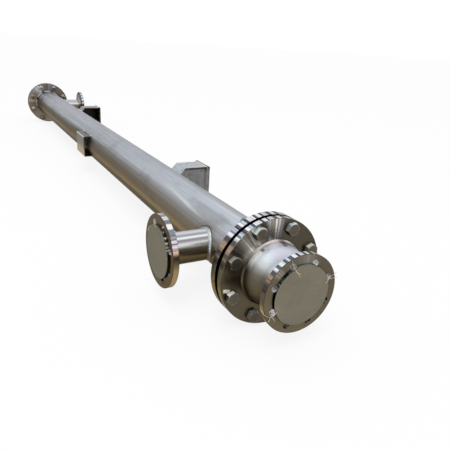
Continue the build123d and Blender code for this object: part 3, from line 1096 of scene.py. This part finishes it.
# Tie wires through holes of the near end flange: depths on the rim face and on the cover
rim_y = -0.8812
sheet_y = -0.8867
wire("top_wire",
     (-0.2160, rim_y, 0.0915), (-0.2145, rim_y, 0.0860), (-0.2120, rim_y, 0.0790),
     (-0.2085, -0.8850, 0.0700), (-0.2040, sheet_y, 0.0650), (-0.1985, sheet_y, 0.0570),
     (-0.1933, sheet_y, 0.0496))
wire("top_wire_tail",
     (-0.2108, -0.8730, 0.0760), (-0.2095, -0.8810, 0.0735), (-0.2070, -0.8862, 0.0690),
     (-0.2030, sheet_y, 0.0620), (-0.1975, sheet_y, 0.0590), (-0.1915, sheet_y, 0.0570))
wire("right_wire",
     (-0.1175, sheet_y, 0.0205), (-0.1120, sheet_y, 0.0225), (-0.1085, -0.8862, 0.0270),
     (-0.1020, -0.8835, 0.0300), (-0.0950, rim_y, 0.0330), (-0.0860, rim_y, 0.0365),
     (-0.0805, -0.8800, 0.0380))
wire("right_wire_tail",
     (-0.1062, -0.8760, 0.0306), (-0.1050, -0.8820, 0.0290), (-0.0985, -0.8830, 0.0255),
     (-0.0900, rim_y, 0.0275), (-0.0780, rim_y, 0.0262))
wire("left_wire",
     (-0.2795, -0.8690, -0.0215), (-0.2800, -0.8800, -0.0240), (-0.2769, rim_y, -0.0310),
     (-0.2680, rim_y, -0.0370), (-0.2590, -0.8835, -0.0400), (-0.2520, sheet_y, -0.0350),
     (-0.2455, sheet_y, -0.0265))
wire("left_wire_tail",
     (-0.2541, -0.8740, -0.0320), (-0.2560, -0.8815, -0.0360), (-0.2600, -0.8820, -0.0430),
     (-0.2650, -0.8835, -0.0510))
wire("left_wire_end", (-0.2570, -0.8835, -0.0400), (-0.2530, -0.8860, -0.0430), (-0.2500, sheet_y, -0.0500))

# Tie wires of the near side flange: depths on its rim face and on its cover
side_rim_x = -0.3940
side_sheet_x = -0.3995
wire("side_wire",
     (-0.3880, -0.4691, 0.0320), (side_rim_x, -0.4683, 0.0370), (-0.3960, -0.4760, 0.0440),
     (side_sheet_x, -0.4860, 0.0490), (side_sheet_x, -0.4990, 0.0560))
wire("side_wire_top",
     (-0.3880, -0.5124, 0.0745), (side_rim_x, -0.5140, 0.0735), (-0.3970, -0.5200, 0.0715),
     (side_sheet_x, -0.5300, 0.0690), (side_sheet_x, -0.5420, 0.0660))
wire("side_wire_left",
     (-0.3880, -0.6169, 0.0306), (side_rim_x, -0.6230, 0.0340), (-0.3950, -0.6300, 0.0330),
     (-0.3960, -0.6350, 0.0270))


# Floor, world, lamps and camera

def link(name, data):
    obj = bpy.data.objects.new(name, data)
    bpy.context.scene.collection.objects.link(obj)
    return obj


def turn_to(obj, way):
    obj.rotation_euler = Vector(way).to_track_quat("-Z", "Y").to_euler()


def floor_finish():
    """White floor that keeps a faint shadow of the object."""
    glow_share = 0.86
    g = Finish("pale_floor", 0.0, 0.9)
    g.colour((0.86, 0.86, 0.86, 1.0))
    g.shader.inputs["Specular IOR Level"].default_value = 0.0
    glow = g.tree.nodes.new("ShaderNodeEmission")
    glow.inputs["Color"].default_value = (1.0, 1.0, 1.0, 1.0)
    blend = g.tree.nodes.new("ShaderNodeMixShader")
    g.put(blend.inputs[0], g.plain_ray() * glow_share)
    g.put(blend.inputs[1], g.shader.outputs[0])
    g.put(blend.inputs[2], glow.outputs[0])
    g.put(g.tree.nodes["Material Output"].inputs["Surface"], blend.outputs[0])
    return g.material


floor_half_width = 60.0
below_part = 0.0005
bm = bmesh.new()
bmesh.ops.create_grid(bm, x_segments=1, y_segments=1, size=floor_half_width)
bmesh.ops.translate(bm, verts=bm.verts, vec=(0, 0, cad_box[0].z - below_part))
floor_mesh = bpy.data.meshes.new("floor")
bm.to_mesh(floor_mesh)
bm.free()
floor_mesh.materials.append(floor_finish())
link("floor", floor_mesh)

# The world is white to the camera and lights the object with 0.7 of that
world = bpy.data.worlds.new("studio")
bpy.context.scene.world = world
world.use_nodes = True
sky = Graph(world.node_tree)
back = sky.tree.nodes["Background"].inputs
back["Color"].default_value = (1.0, 1.0, 1.0, 1.0)
sky.put(back["Strength"], sky.plain_ray() * 0.3 + 0.7)

sun_data = bpy.data.lights.new("sky", "SUN")
sun_data.energy = 1.15
sun_data.angle = 0.6
sun = link("sky", sun_data)
sun.visible_glossy = False
turn_to(sun, (0.35, 0.35, -1.0))

lamp_data = bpy.data.lights.new("overhead", "AREA")
lamp_data.shape = "RECTANGLE"
lamp_data.size, lamp_data.size_y = 1.2, 3.0
lamp_data.energy = 12.0
lamp = link("overhead", lamp_data)
lamp.location = (-0.6, -0.4, 2.6)
turn_to(lamp, (0.4, 0.6, -2.6))

# Camera fitted to the photograph, which is 450 px wide
photo_px = 450.0
focal_px = 480.635
place = (-0.81961, -1.63227, 0.52708)
yaw, pitch, roll = 0.51925, -0.36450, 0.06503
camera_data = bpy.data.cameras.new("camera")
camera_data.sensor_width = 36.0
camera_data.lens = focal_px * camera_data.sensor_width / photo_px
camera_data.clip_start = 0.05
camera_data.clip_end = 200.0
camera = link("camera", camera_data)
forward = Vector((sin(yaw) * cos(pitch), cos(yaw) * cos(pitch), sin(pitch)))
level_right = forward.cross(Vector((0, 0, 1))).normalized()
level_up = level_right.cross(forward)
right = level_right * cos(roll) + level_up * sin(roll)
up = level_up * cos(roll) - level_right * sin(roll)
camera.matrix_world = Matrix.Translation(place) @ Matrix((right, up, -forward)).transposed().to_4x4()
bpy.context.scene.camera = camera
bpy.context.scene.view_settings.view_transform = "Standard"
